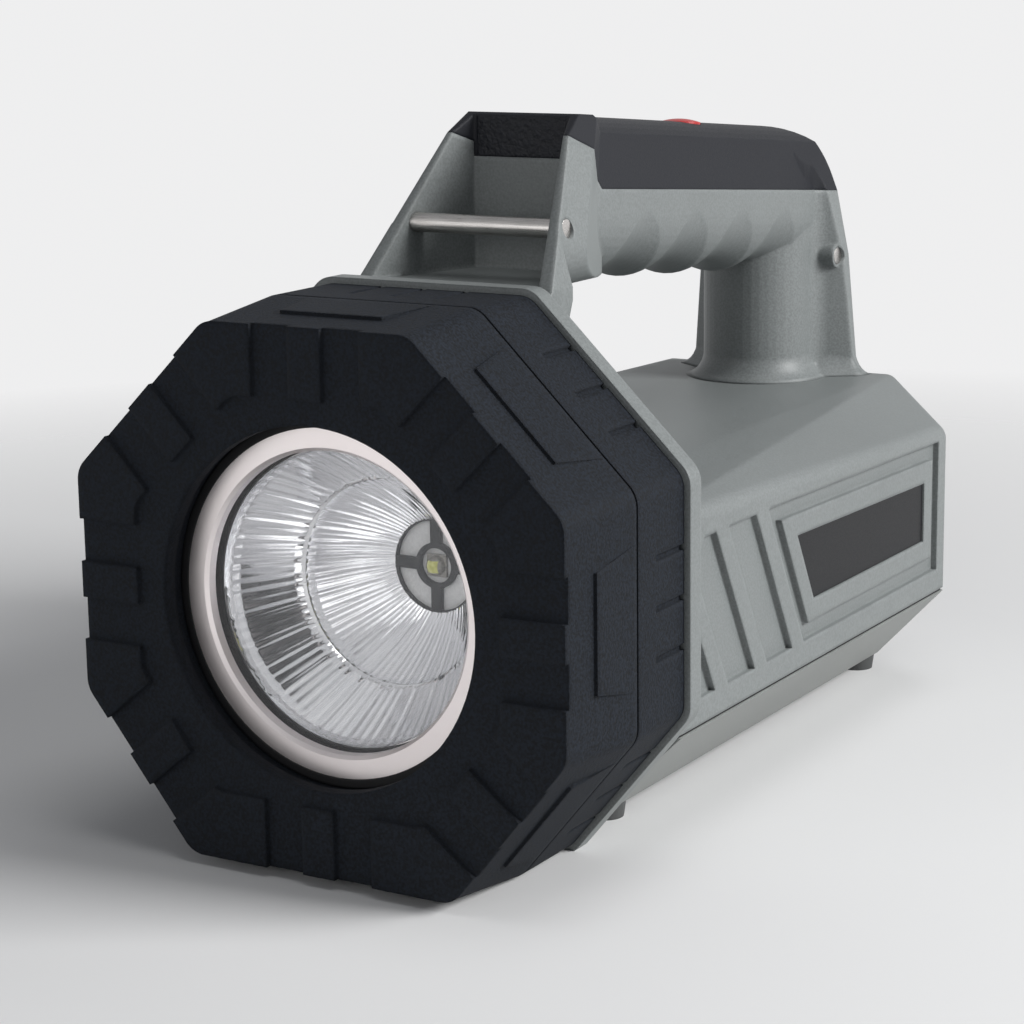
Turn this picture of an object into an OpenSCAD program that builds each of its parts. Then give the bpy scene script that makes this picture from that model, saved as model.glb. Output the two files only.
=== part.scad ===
// Hand-held search flashlight with an octagonal rubber bezel, a carry handle and two strap bars.
// The beam leaves along -Y, +Z is up, and the origin lies on the standing surface at mid length.
// Inside the modules, x is across, y runs back from the front rim and h is measured from the beam axis.

/* [Head] */
// Width of the rubber bezel across its side flats
head_w = 125; // [114:0.5:140]
// Height of the bezel's top flat above the beam axis
head_rise = 61.6; // [58:0.2:66]
// Depth of the bezel's bottom flat below the beam axis
head_drop = 59.6; // [58:0.2:66]
// Length of the top flat
top_flat = 52; // [46:1:58]
// Reach of the side flats above the beam axis
side_rise = 26; // [22:0.5:30]
// Reach of the side flats below the beam axis
side_drop = 24.6; // [22:0.2:28]
// Length of the bottom flat
bottom_flat = 68; // [60:1:72]
// Radius of the octagon's corners
corner_r = 6; // [3:0.5:8]
// Length of the tapered front half of the bezel
bezel_front = 25; // [22:0.5:30]
// Length of the straight rear half of the bezel
bezel_rear = 21; // [18:0.5:26]
// Inset of the rim from the widest outline
bezel_taper = 2.4; // [1.5:0.1:3.5]
// Wall of the bezel around the barrel
bezel_wall = 5; // [4:0.25:6]
// Thickness of the bezel's front wall
bezel_face = 10; // [9:0.5:12]
// Thickness of the bezel's lip at the round opening
bezel_lip = 3.7; // [2.5:0.1:5]
// Radius of the round opening in the bezel
opening_r = 38.8; // [38:0.1:40]

/* [Bezel relief] */
// Height of the lugs on the rim
lug_h = 1.3; // [1:0.1:2.4]
// Width of the ring of lugs
lug_ring = 15; // [12:0.5:17]
// Width of each groove between the lugs
lug_groove = 9.4; // [7:0.2:11]
// Width of the bar in the middle of each flat
lug_bar = 8; // [5:0.5:10]
// Rear width of the raised pad on each tapered flat
pad_w = 31; // [24:1:36]
// Front width of the raised pad
pad_front_w = 25; // [18:1:30]
// Length of the raised pad
pad_l = 15; // [10:0.5:18]
// Fall of the pad's face from its rear to its front
pad_fall = 0.8; // [0.2:0.1:1]
// Width and depth of the parting groove
parting_groove = 0.7; // [0.4:0.1:1.2]
// Spacing of the three slots on each rear flat
slot_pitch = 10.7; // [8:0.1:13]
// Width of a slot
slot_w = 1.4; // [0.8:0.1:2]
// Length of a slot
slot_l = 12.6; // [8:0.2:16]
// Depth of a slot
slot_depth = 0.9; // [0.5:0.1:1.5]

/* [Optics] */
// Radius of the lens ring
ring_r = 37.4; // [36.5:0.1:38]
// Distance of the lens ring behind the rim
ring_setback = 8; // [7.8:0.1:9]
// Thickness of the lens ring
ring_t = 3; // [2:0.1:4]
// Width of the lens ring
ring_w = 4.9; // [4:0.1:5.5]
// Wall of the barrel's tube around the lens
tube_wall = 2; // [1.6:0.1:3]
// Thickness of the lens
lens_t = 2.5; // [2:0.1:4]
// Thickness of the lens seal
seal_t = 1.5; // [1:0.1:2]
// Thickness of the reflector's wall
bowl_t = 1.2; // [0.8:0.1:1.6]
// Width of the reflector's seating flange
bowl_flange = 5; // [4:0.1:5.5]
// Depth of the reflector from its flange to its throat
bowl_depth = 33; // [30:0.5:35]
// Radius of the circle between the reflector's two zones
zone_r = 23; // [20:0.5:25]
// Depth of that circle behind the reflector's flange
zone_depth = 15.5; // [13:0.5:18]
// Radius of the reflector's throat
throat_r = 10.5; // [9:0.1:12]

/* [Light source] */
// Radius of the emitter's board and holder
board_r = 12.5; // [12.2:0.1:14]
// Thickness of the emitter's board
board_t = 1.6; // [1:0.1:2]
// Thickness of the emitter's holder
holder_t = 1.2; // [0.8:0.1:2]
// Radius of the hole in the holder
holder_hole = 4; // [3.7:0.1:4.4]
// Radius of the holder's hub
holder_hub = 5.2; // [4.8:0.1:6]
// Width of the holder's four arms
holder_arm = 2.6; // [1.6:0.2:4]
// Side of the emitter's square base
emitter_w = 5; // [4:0.1:5.2]
// Thickness of the emitter's base
emitter_t = 0.8; // [0.5:0.1:1]
// Radius of the emitter's dome
dome_r = 2.3; // [1.8:0.1:2.4]
// Width of the heat sink
sink_w = 46; // [42:1:50]
// Height of the heat sink
sink_h = 33; // [30:1:36]
// Length of the heat sink behind the flange
sink_l = 22; // [16:1:28]
// Thickness of the heat sink's base
sink_base = 4; // [3:0.5:6]
// Spacing of the heat sink's fins
fin_pitch = 6; // [5:0.5:6.5]
// Thickness of a fin
fin_t = 1.6; // [1:0.1:2]

/* [Body] */
// Thickness of the flange behind the bezel
flange_t = 7; // [6:0.5:9]
// Overhang of the flange past the bezel
flange_lip = 1.4; // [0.8:0.1:2]
// Chamfer on the flange's rear edge
flange_chamfer = 2; // [1:0.1:3]
// Width of the body across its sides
body_w = 116; // [110:1:118]
// Width of the level deck
deck_w = 68; // [60:1:76]
// Height of the deck above the beam axis
deck_rise = 19.2; // [17.4:0.2:22]
// Height of the side's upper edge at the flange
shoulder_front = 16.9; // [14:0.2:17]
// Height of the side's upper edge at the rear
shoulder_rear = 10.2; // [9.8:0.2:12]
// Radius of the side's upper edge
shoulder_r = 4; // [2:0.5:6]
// Radius of the soft bend at the deck's edge
deck_r = 50; // [20:5:60]
// Length of the straight side behind the flange
side_l = 150; // [147:1:160]
// Length of the chamfered rear corners
rear_chamfer = 22; // [19:0.5:24]
// Depth of the cover's seam below the beam axis
seam_drop = 32; // [30:0.5:33]
// Depth of the cover's floor below the beam axis
floor_drop = 55.4; // [53:0.2:57]
// Width of the cover's floor
floor_w = 70; // [68:1:76]
// Run of the cover's rear slope
floor_set = 5; // [3:0.5:6]
// Wall of the body and the cover
wall = 2.8; // [2.2:0.1:3.2]
// Thickness of the seal at the seam
seam_seal = 0.8; // [0.5:0.1:1.2]
// Radius of a foot
foot_r = 5; // [4.2:0.1:5.5]
// Half distance between the feet across the body
foot_x = 29.5; // [28:0.5:30]
// Distance of the front feet behind the flange
foot_front = 18; // [15:0.5:20]
// Distance of the rear feet behind the straight sides
foot_rear = 10; // [7:0.5:11]

/* [Side panels] */
// Height of the panels' upper edge above the beam axis
panel_top = 9.2; // [6:0.2:9.6]
// Fall of the name plate frame's upper edge to the rear
panel_fall = 1.8; // [0:0.1:3]
// Depth of the panels' lower edge below the beam axis
panel_drop = 26.2; // [22:0.2:27]
// Distance of the second panel's upper corner behind the flange
panel_start = 3.4; // [2:0.2:6]
// Distance from one panel to the next
panel_pitch = 20; // [17:0.5:22]
// Width of a slanted panel
panel_w = 13.6; // [10:0.2:15]
// Lean of the panels' edges from upright
panel_lean = 29; // [20:1:34]
// Reach of the cut across the upper corner next to the flange
panel_clip = 11.4; // [8:0.2:14]
// Depth of the panels
panel_depth = 1.4; // [0.8:0.1:1.6]
// Margin between the name plate's frame and the rear corner
panel_margin = 5; // [3:0.5:8]
// Width of the sunk band around the name plate's frame
frame_band = 4; // [3:0.2:5]
// Width of the raised frame around the name plate
frame_w = 5.2; // [4:0.2:7]
// Thickness of the name plate
plate_t = 0.9; // [0.6:0.1:1.2]
// Depth of the name plate's face below its frame
plate_sunk = 0.4; // [0.1:0.1:0.6]

/* [Handle] */
// Distance of the grip's front lip behind the rim
grip_y = 88.6; // [85:0.2:92]
// Height of the grip's front lip above the beam axis
grip_rise = 96.6; // [94:0.2:100]
// Slope of the grip down to the rear
grip_tilt = 5; // [3:0.5:6]
// Width of the grip
grip_w = 30; // [27:0.5:32]
// Height of the grip
grip_h = 38; // [36:0.5:40]
// Height of the grip cover's crown
crown = 3.8; // [2.5:0.1:5]
// Width of the cover's top between its creases
crease_w = 25; // [22:0.5:26]
// Length of the flat lip at the cover's front
lip_l = 6; // [3:0.5:10]
// Depth of the cover's lower edge below the grip's top
cover_drop = 16.6; // [15.5:0.2:18]
// Length of the cover's slanted front edge along the grip
cover_slant = 11; // [8:0.5:13]
// Depth of the bend in that edge below the cover's crease
cover_bend = 4; // [2:0.5:6]
// Height of the cover's tongue on the recess's back wall
tongue_h = 10; // [6:0.5:14]
// Half width of the handle's front at its shoulder
front_half = 25; // [23:0.5:27]
// Height of the front's shoulder above the beam axis
front_shoulder = 61; // [59:0.5:64]
// Distance of that shoulder behind the flange
shoulder_in = 4.2; // [3:0.1:6]
// Half width of the handle's front at its upper corner
lean_half = 15.9; // [15:0.1:17]
// Distance of that upper corner ahead of the grip's lip
lean_ahead = 7.3; // [6:0.1:8]
// Depth of that upper corner below the grip's lip
lean_below = 4.3; // [3.9:0.1:5]
// Length of the flare behind the front recess
flare_l = 15.5; // [12:0.5:20]
// Inset of the flare's end inside the grip
flare_in = 3; // [2:0.2:4]
// Radius of the flare's lower edges at the front leg
flare_round = 9; // [7:0.5:10]
// Height of the front leg's foot above the beam axis
gusset_h = 27; // [24:0.5:32]
// Length of the front leg at the hand opening
gusset_l = 13.4; // [13:0.2:18]
// Half width of the post at the deck
rear_half = 24; // [22:0.1:25]
// Narrowing of the post from the deck to the rear bar
rear_draft = 3; // [1:0.1:4]
// Half width of the post at the cover's lower edge
rear_mid = 17.5; // [16:0.1:19]
// Half width of the post behind its round front
post_r = 14.5; // [14:0.1:14.7]
// Width of the post's rear edge along the sides
rear_land = 2; // [1.6:0.1:2.4]
// Distance of the post's round front ahead of its rear edge
post_l = 26.5; // [26.4:0.1:28]
// Distance of the bend in the post's sides ahead of its rear edge
bend_in = 7.8; // [7.4:0.1:7.9]
// Radius of that bend
bend_r = 6.8; // [5:0.2:7]
// Spread of the post's foot on the deck
foot_spread = 5; // [3:0.5:6]
// Height of the post's spread foot
foot_spread_h = 7.6; // [6:0.2:7.8]
// Radius of the grip's upper rear corner
rear_corner = 14; // [10:0.5:16]
// Distance of the first finger ridge behind the grip's lip
finger_start = 21.2; // [18:0.2:24]
// Spacing of the finger grooves
finger_pitch = 25.4; // [23:0.2:27]
// Depth of the finger grooves
finger_depth = 2.4; // [1:0.1:3]
// Half width of the front recess at its back wall
recess_half = 12.6; // [11:0.2:13]
// Widening of the front recess towards its mouth
recess_flare = 0.3; // [0.25:0.01:0.33]
// Thickness of the front recess's floor
recess_floor = 2; // [1.8:0.1:2.4]

/* [Strap bars] */
// Diameter of the strap bars
bar_d = 4.4; // [3.6:0.1:5]
// Distance of the front bar ahead of the grip's lip
bar_ahead = 17.7; // [16.5:0.1:19]
// Depth of the front bar below the grip's lip
bar_below = 23.7; // [22:0.1:25]
// Distance of the rear bar from the post's rear edge
rear_bar_in = 4.9; // [4.7:0.1:5]
// Height of the rear bar above the deck
rear_bar_up = 32; // [28:0.5:34]
// Half width of the rear recess at its mouth
rear_recess_half = 11.5; // [10.5:0.1:11.8]
// Half width of the rear recess at its back
rear_recess_back = 5; // [4:0.2:5.4]
// Depth of the rear recess
rear_recess = 12.6; // [12.4:0.1:12.8]
// Length of the straight part of the rear recess at its mouth
rear_recess_mouth = 5.5; // [5:0.1:6]
// Width of the rim round the rear bar's ends
rear_bar_rim = 0.9; // [0.6:0.1:1.2]
// Height of the rear recess's floor above the deck
rear_recess_up = 8; // [7:0.5:10]

/* [Switch] */
// Distance of the button behind the grip's lip
button_at = 78; // [70:0.5:86]
// Radius of the button
button_r = 5; // [4:0.1:6]
// Height of the button's dome above the cover's crown
button_proud = 0.6; // [0.3:0.1:1.5]
// Travel of the button
button_travel = 1.4; // [0.8:0.1:1.8]
// Side of the switch's square body
switch_w = 12; // [10:0.5:13]
// Height of the switch's body
switch_h = 11; // [10.5:0.1:12]

/* [Battery] */
// Diameter of a cell
cell_d = 33; // [30:0.2:33.2]
// Length of a cell
cell_l = 60.5; // [58:0.1:61]
// Thickness of the cell tray
tray_t = 1.5; // [1:0.1:2]
// Thickness of a contact plate
contact_t = 0.6; // [0.4:0.1:1]

/* [Electronics] */
// Length of the driver's board
driver_l = 52; // [46:1:60]
// Width of the driver's board
driver_w = 46; // [40:1:52]
// Thickness of the driver's board
driver_t = 1.6; // [1:0.1:2]
// Depth of the driver's board below the beam axis
driver_drop = 7; // [6:0.2:8]
// Distance of the driver's board behind the heat sink
driver_gap = 16; // [10:1:24]
// Height of the coil and the capacitors on the driver's board
coil_h = 6; // [4:0.5:7]
// Radius of the coil
coil_r = 7; // [5:0.5:9]
// Radius of the capacitors
capacitor_r = 4; // [3:0.5:5]
// Diameter of the leads
lead_d = 1.6; // [1.2:0.1:2]

/* [Screws] */
// Diameter of the screws' shanks
screw_d = 2.6; // [2:0.1:2.8]
// Length of a cover screw
cover_screw_l = 16; // [12:1:20]
// Length of a small screw
small_screw_l = 8; // [6:0.5:9]

/* [Hidden] */
$fn = 64;

// Clearances: round moving pieces, loose holes and seated pieces
gap = 0.3;
slip = 0.15;
fit = 0.02;
// Thickness of the slices that a loft is stretched between, and overlap of a cut past a face
slice = 0.01;
past = 1;
arc_steps = 10;
// Growth of a flat's half length when a regular octagon's outline moves out by one
flat_growth = tan(22.5);
screw_head_h = 0.7 * screw_d;
boss_wall = 2;
boss_r = screw_d / 2 + boss_wall;

// Main stations along the beam axis, measured from the rim
barrel_y = lug_h + bezel_face;
flange_y = bezel_front + bezel_rear;
flange_back = flange_y + flange_t;
side_end = flange_back + side_l;
rear_y = side_end + rear_chamfer;
axis_h = head_drop;

// Optical stack
seat_r = ring_r + fit;
tube_r = seat_r + tube_wall;
ring_in = ring_r - ring_w;
lens_y = ring_setback + ring_t;
seal_y = lens_y + lens_t;
bowl_y = seal_y + seal_t;
bowl_r = ring_r - bowl_flange;
bowl_back = bowl_y + bowl_depth;
seat_y = bowl_y + bowl_t;
bowl_bore = bowl_r + 2 * bowl_t;
holder_y = bowl_back;
board_y = holder_y + holder_t;
pedestal_y = board_y + board_t;
window_r = max(board_r, bowl_at(flange_y - bowl_y) + bowl_t) + gap;
barrel_screw_r = tube_r + screw_d + boss_wall;
barrel_screw_angles = [8, 172, 215, 325];

// Heat sink behind the flange
sink_top = deck_rise - wall - 2;
sink_low = sink_top - sink_h;
sink_screw_x = sink_w / 2 - fin_pitch;
lead_x = fin_pitch / 2;

// Body sections
body_half = body_w / 2;
rear_half_w = body_half - rear_chamfer;
floor_half = floor_w / 2;
floor_end = rear_y - floor_set;
foot_h = axis_h - floor_drop;
foot_ys = [flange_back + foot_front, side_end + foot_rear];

// Slanted panels and the name plate's surround
lean_run = (panel_top + panel_drop) * tan(panel_lean);
first_panel = flange_back + panel_start - panel_pitch;
frame_y = first_panel + 3 * panel_pitch;
frame_end = side_end - panel_margin;

// Handle stations
lean = [grip_y - lean_ahead, grip_rise - lean_below];
lean_slope = (lean[1] - front_shoulder) / (lean[0] - flange_back - shoulder_in);
lean_start = lean[1] - (lean[0] - flange_back) * lean_slope;
plate_slope = (front_half - lean_half) / (lean[1] - front_shoulder);
handle_rear = rear_y - past;
post_y = handle_rear - post_l;
gusset_y = flange_back + gusset_l;
wall_y = grip_y - past;
recess_h = front_shoulder + slip;
flare_low = recess_h - recess_floor;
flare_end = wall_y + flare_l;
bar_y = grip_y - bar_ahead;
bar_h = grip_rise - bar_below;
rear_bar_y = handle_rear - rear_bar_in;
rear_bar_h = deck_rise + rear_bar_up;
rear_bar_half = rear_half - rear_draft - past;
foot_half = rear_half - rear_draft * foot_spread_h / rear_bar_up;
foot_steps = 8;
rear_edge_h = top_line(handle_rear) - cover_drop;
grip_r = grip_w / 2;
crown_r = (pow(crease_w / 2, 2) + pow(crown, 2)) / (2 * crown);
crease_a = asin(crease_w / 2 / crown_r);
duct_r = 1.6;
duct_y = post_y + duct_r + boss_wall;
duct_w = -cover_drop - duct_r;

// Switch stack, measured from the grip's top
collar_rim = 1.5;
collar_r = button_r + collar_rim;
collar_t = 1.2;
collar_top = -crown - 2.2;
switch_top = collar_top - collar_t - button_travel - gap;
dome_h = 0.8;

// Battery stack
tray_floor = -floor_drop + wall;
cell_h = tray_floor + tray_t + cell_d / 2 + fit;
cell_x = cell_d / 2 + gap;
cells_y = flange_back + max(foot_front + boss_r, sink_l) + contact_t + tray_t + past;
cell_room = foot_ys[1] - boss_r - gap - cells_y - contact_t - tray_t;
cells_in_row = floor(cell_room / cell_l);
cells_end = cells_y + cells_in_row * cell_l;
tray_half = cell_x + cell_d / 2 - past;
tray_l = cells_end - cells_y + 2 * (contact_t + tray_t);

// Driver board
driver_y = flange_back + sink_l + driver_gap;
standoff_x = driver_w / 2 - boss_r;
standoff_y = driver_y + driver_l / 2;
lead_h = -driver_drop + lead_d / 2;
bend_swell = 1.15;

// Unit vector, arcs and rounded outlines
function unit(v) = v / norm(v);

function arc(centre, r, from, to) =
    [for (i = [0 : arc_steps])
        let (a = from + (to - from) * i / arc_steps)
        centre + r * [cos(a), sin(a)]];

function corner(a, b, c, r) =
    let (
        u = unit(a - b),
        v = unit(c - b),
        half = acos(u * v) / 2,
        centre = b + unit(u + v) * r / sin(half),
        start = b + u * r / tan(half) - centre,
        from = atan2(start[1], start[0]),
        turn = -sign(cross(u, v)) * (180 - 2 * half)
    )
    r == 0 ? [b] : arc(centre, r, from, from + turn);

function rounded(points, radii) =
    let (n = len(points))
    [for (i = [0 : n - 1])
        each corner(points[(i + n - 1) % n], points[i], points[(i + 1) % n], radii[i])];

function alike(points, r) = [for (p = points) r];

function mirrored(points) =
    concat(points, [for (i = [len(points) - 1 : -1 : 0]) [-points[i][0], points[i][1]]]);

// Octagon of the head, moved out by a margin; the points run from the right end of the top flat
function head_points(margin) =
    let (g = margin * flat_growth)
    mirrored([
        [top_flat / 2 + g, head_rise + margin],
        [head_w / 2 + margin, side_rise + g],
        [head_w / 2 + margin, -side_drop - g],
        [bottom_flat / 2 + g, -head_drop - margin]
    ]);

function head_outline(margin) = rounded(head_points(margin), alike(head_points(margin), corner_r));

// A point along and above the sloping grip, and the heights of the grip's top and underside
function tilted(along, above) = [
    grip_y + along * cos(grip_tilt) + above * sin(grip_tilt),
    grip_rise - along * sin(grip_tilt) + above * cos(grip_tilt)
];

function top_line(y) = grip_rise - (y - grip_y) * tan(grip_tilt);

function under_line(y) = top_line(y) - grip_h / cos(grip_tilt);

// Radius of the reflector's inner face at a depth behind its flange, a parabola in each zone
function bowl_at(depth) =
    depth < zone_depth
        ? sqrt(pow(bowl_r, 2) + (pow(zone_r, 2) - pow(bowl_r, 2)) * depth / zone_depth)
        : sqrt(pow(zone_r, 2) + (pow(throat_r, 2) - pow(zone_r, 2))
            * (depth - zone_depth) / (bowl_depth - zone_depth));

// Frames: the whole lamp, a slab facing the beam, a piece cut across, a plan and a turned piece
module lamp() {
    translate([0, -rear_y / 2, axis_h])
        children();
}

module slab(y, depth) {
    translate([0, y + depth, 0])
        rotate([90, 0, 0])
            linear_extrude(depth)
                children();
}

module across(width) {
    rotate([90, 0, 90])
        linear_extrude(width, center = true)
            children();
}

module plan(h, height) {
    translate([0, 0, h])
        linear_extrude(height)
            children();
}

module turned(y) {
    translate([0, y, 0])
        rotate([-90, 0, 0])
            rotate_extrude()
                children();
}

module ring(y, inner, outer, depth) {
    turned(y)
        translate([inner, 0])
            square([outer - inner, depth]);
}

module rod_y(x, y, h, r, l) {
    translate([x, y, h])
        rotate([-90, 0, 0])
            cylinder(r = r, h = l);
}

module rod_x(y, h, r, half) {
    translate([-half, y, h])
        rotate([0, 90, 0])
            cylinder(r = r, h = 2 * half);
}

module both_sides() {
    children();
    mirror([1, 0, 0])
        children();
}

// Children stand at the middle of each flat, with z pointing outwards
module on_flats(margin) {
    points = head_points(margin);
    for (i = [0 : 7]) {
        p = points[i];
        q = points[(i + 1) % 8];
        mid = (p + q) / 2;
        out = unit([p[1] - q[1], q[0] - p[0]]);
        translate([mid[0], 0, mid[1]])
            rotate([0, atan2(out[0], out[1]), 0])
                children();
    }
}

module grip_frame() {
    translate([0, grip_y, grip_rise])
        rotate([-grip_tilt, 0, 0])
            children();
}

// Round wire through a list of points, slightly swollen at its bends
module wire(points, d) {
    for (i = [0 : len(points) - 2]) {
        step = points[i + 1] - points[i];
        translate(points[i])
            rotate([0, acos(step[2] / norm(step)), atan2(step[1], step[0])])
                cylinder(d = d, h = norm(step));
    }
    for (i = [1 : 1 : len(points) - 2])
        translate(points[i])
            sphere(d = d * bend_swell);
}

// Screw with a pan head, pointing along +z from the head's seat
module screw(l) {
    cylinder(d = screw_d, h = l);
    translate([0, 0, -screw_head_h])
        cylinder(r = screw_d, h = screw_head_h);
}

// Head
module lug_relief() {
    slab(0, lug_h + slice)
        difference() {
            polygon(head_outline(-bezel_taper));
            polygon(head_outline(-bezel_taper - lug_ring));
        }
}

module lug_grooves() {
    side = (lug_bar + lug_groove) / 2;
    on_flats(-bezel_taper)
        for (x = [-side, side])
            translate([x - lug_groove / 2, -past, -lug_ring - past])
                cube([lug_groove, past + lug_h, lug_ring + 2 * past]);
}

module bezel_pads() {
    on_flats(0)
        translate([0, bezel_front + slice, 0])
            rotate([atan(pad_fall / pad_l), 0, 0])
                translate([0, 0, -bezel_wall / 2])
                    linear_extrude(bezel_wall / 2)
                        polygon(mirrored([[pad_w / 2, 0], [pad_front_w / 2, -pad_l]]));
}

module bezel_slots() {
    on_flats(0)
        for (i = [-1 : 1])
            translate([i * slot_pitch - slot_w / 2, flange_y - slot_l, -slot_depth])
                cube([slot_w, slot_l + past, slot_depth + past]);
}

module front_bezel() {
    color([0.08, 0.09, 0.11])
        lamp()
            difference() {
                union() {
                    hull() {
                        slab(lug_h, slice)
                            polygon(head_outline(-bezel_taper));
                        slab(bezel_front, slice)
                            polygon(head_outline(0));
                    }
                    slab(bezel_front, bezel_rear)
                        polygon(head_outline(0));
                    bezel_pads();
                    difference() {
                        lug_relief();
                        lug_grooves();
                    }
                }
                slab(bezel_front, parting_groove)
                    difference() {
                        polygon(head_outline(past));
                        polygon(head_outline(-parting_groove));
                    }
                bezel_slots();
                ring(-past, 0, opening_r, barrel_y + 2 * past);
                ring(lug_h + bezel_lip, 0, tube_r + gap, barrel_y);
                slab(barrel_y, flange_y)
                    polygon(head_outline(-bezel_wall));
            }
}

// Four posts between the tube and the sleeve, for the screws that hold the barrel to the flange
module barrel_posts(r, from, to) {
    for (a = barrel_screw_angles)
        rod_y(barrel_screw_r * cos(a), from, barrel_screw_r * sin(a), r, to - from);
}

module head_barrel() {
    color([0.1, 0.1, 0.11])
        lamp()
            difference() {
                union() {
                    slab(barrel_y, flange_y - barrel_y)
                        polygon(head_outline(-bezel_wall));
                    ring(ring_setback, 0, tube_r, bezel_face);
                }
                ring(ring_setback - past, 0, seat_r, seat_y - ring_setback + past);
                ring(seat_y - past, 0, bowl_bore, flange_y);
                difference() {
                    slab(barrel_y + tube_wall, flange_y)
                        polygon(head_outline(-bezel_wall - tube_wall));
                    ring(barrel_y, 0, tube_r, 2 * flange_y);
                    barrel_posts(boss_r, barrel_y, 2 * flange_y);
                }
                barrel_posts(screw_d / 2 + fit, flange_y - small_screw_l, flange_y + past);
            }
}

module barrel_screws() {
    color([0.7, 0.7, 0.72])
        lamp()
            for (a = barrel_screw_angles)
                translate([barrel_screw_r * cos(a), flange_y + wall, barrel_screw_r * sin(a)])
                    rotate([90, 0, 0])
                        screw(small_screw_l);
}

module lens_ring() {
    chamfer = ring_t / 4;
    color([0.85, 0.83, 0.82])
        lamp()
            turned(ring_setback)
                polygon([
                    [ring_in, ring_t],
                    [ring_in, chamfer],
                    [ring_in + chamfer, 0],
                    [ring_r, 0],
                    [ring_r, ring_t]
                ]);
}

module lens() {
    color([0.9, 0.95, 1, 0.35])
        lamp()
            ring(lens_y, 0, ring_r, lens_t);
}

module lens_seal() {
    color([0.05, 0.05, 0.05])
        lamp()
            ring(seal_y, bowl_r, ring_r, seal_t);
}

module reflector() {
    steps = 16;
    depths = [for (i = [0 : steps]) bowl_depth * i / steps];
    color([0.9, 0.9, 0.92])
        lamp()
            turned(bowl_y)
                polygon(concat(
                    [for (i = [0 : steps]) [bowl_at(depths[i]), depths[i]]],
                    [for (i = [steps : -1 : 1]) [bowl_at(depths[i]) + bowl_t, depths[i]]],
                    [[bowl_r + bowl_t, bowl_t], [ring_r, bowl_t], [ring_r, 0]]
                ));
}

module led_holder() {
    window_out = throat_r - gap;
    color([0.2, 0.2, 0.22])
        lamp()
            difference() {
                union() {
                    rod_y(0, holder_y, 0, holder_hub, holder_t);
                    ring(holder_y, window_out, board_r, holder_t);
                    for (a = [0 : 90 : 270])
                        rotate([0, a, 0])
                            translate([-holder_arm / 2, holder_y, 0])
                                cube([holder_arm, holder_t, window_out + past]);
                }
                rod_y(0, holder_y - past, 0, holder_hole, holder_t + 2 * past);
            }
}

module led_board() {
    color([0.92, 0.92, 0.9])
        lamp()
            ring(board_y, 0, board_r, board_t);
}

module led_emitter() {
    color([0.85, 0.85, 0.25])
        lamp()
            union() {
                translate([-emitter_w / 2, board_y - emitter_t, -emitter_w / 2])
                    cube([emitter_w, emitter_t, emitter_w]);
                intersection() {
                    translate([0, board_y - emitter_t, 0])
                        sphere(r = dome_r);
                    translate([-dome_r, board_y - emitter_t - dome_r, -dome_r])
                        cube([2 * dome_r, dome_r + emitter_t / 2, 2 * dome_r]);
                }
            }
}

module heat_sink() {
    fins = floor((sink_w - fin_t) / 2 / fin_pitch);
    color([0.75, 0.76, 0.78])
        lamp()
            difference() {
                union() {
                    rod_y(0, pedestal_y, 0, board_r, flange_back - pedestal_y + past);
                    translate([-sink_w / 2, flange_back, sink_low])
                        cube([sink_w, sink_base, sink_h]);
                    for (i = [-fins : fins])
                        translate([i * fin_pitch - fin_t / 2, flange_back, sink_low])
                            cube([fin_t, sink_l, sink_h]);
                }
                for (x = [-lead_x, lead_x])
                    rod_y(x, pedestal_y - past, lead_h, lead_d / 2 + slip, sink_base + flange_t);
                for (x = [-sink_screw_x, sink_screw_x]) {
                    rod_y(x, flange_back - past, 0, screw_d / 2 + slip, sink_l);
                    rod_y(x, flange_back + sink_base, 0, screw_d + gap, sink_l);
                }
            }
}

module sink_screws() {
    color([0.7, 0.7, 0.72])
        lamp()
            for (x = [-sink_screw_x, sink_screw_x])
                translate([x, flange_back + sink_base, 0])
                    rotate([90, 0, 0])
                        screw(small_screw_l);
}

// Body, with rounded edges outside and plain ones inside
module body_section(y, half, side_top, deck_half, deck_top, low, soft) {
    slab(y, slice)
        polygon(rounded(
            mirrored([[deck_half, deck_top], [half, side_top], [half, low]]),
            soft * [deck_r, shoulder_r, 0, 0, shoulder_r, deck_r]
        ));
}

module body_form(inset) {
    low = -seam_drop - (inset > 0 ? past : 0);
    deck_half = deck_w / 2 - inset;
    top = deck_rise - inset;
    rear = rear_half_w - inset * flat_growth;
    soft = inset > 0 ? 0 : 1;
    hull() {
        body_section(flange_back, body_half - inset, shoulder_front - inset, deck_half, top, low, soft);
        body_section(side_end - inset * flat_growth, body_half - inset, shoulder_rear - inset,
            deck_half, top, low, soft);
        slab(rear_y - inset - slice, slice)
            polygon(rounded(mirrored([[rear, top], [rear, low]]), soft * [shoulder_r, 0, 0, shoulder_r]));
    }
}

function panel_points(y) = [
    [y, panel_top],
    [y + panel_w, panel_top],
    [y + panel_w + lean_run, -panel_drop],
    [y + lean_run, -panel_drop]
];

// Part of the side open to the slanted panels, with the corner next to the flange cut off
panel_limit = [
    [flange_back + panel_clip, panel_top],
    [side_end, panel_top],
    [side_end, -panel_drop],
    [flange_back + past, -panel_drop],
    [flange_back + past, panel_top - (panel_clip - past) / tan(panel_lean)]
];

// Outline of the name plate's surround, moved in by a margin
function frame_points(inset) =
    let (
        low = -panel_drop + inset,
        edge = frame_y + inset / cos(panel_lean),
        run = tan(panel_lean)
    )
    [
        [edge + inset * run, panel_top - inset],
        [frame_end - inset, panel_top - panel_fall - inset],
        [frame_end - inset, low],
        [edge + (panel_top - low) * run, low]
    ];

// Cut of a given depth into both sides of the body
module side_cut(depth) {
    both_sides()
        translate([body_w - depth, 0, 0])
            across(body_w)
                children();
}

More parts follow.
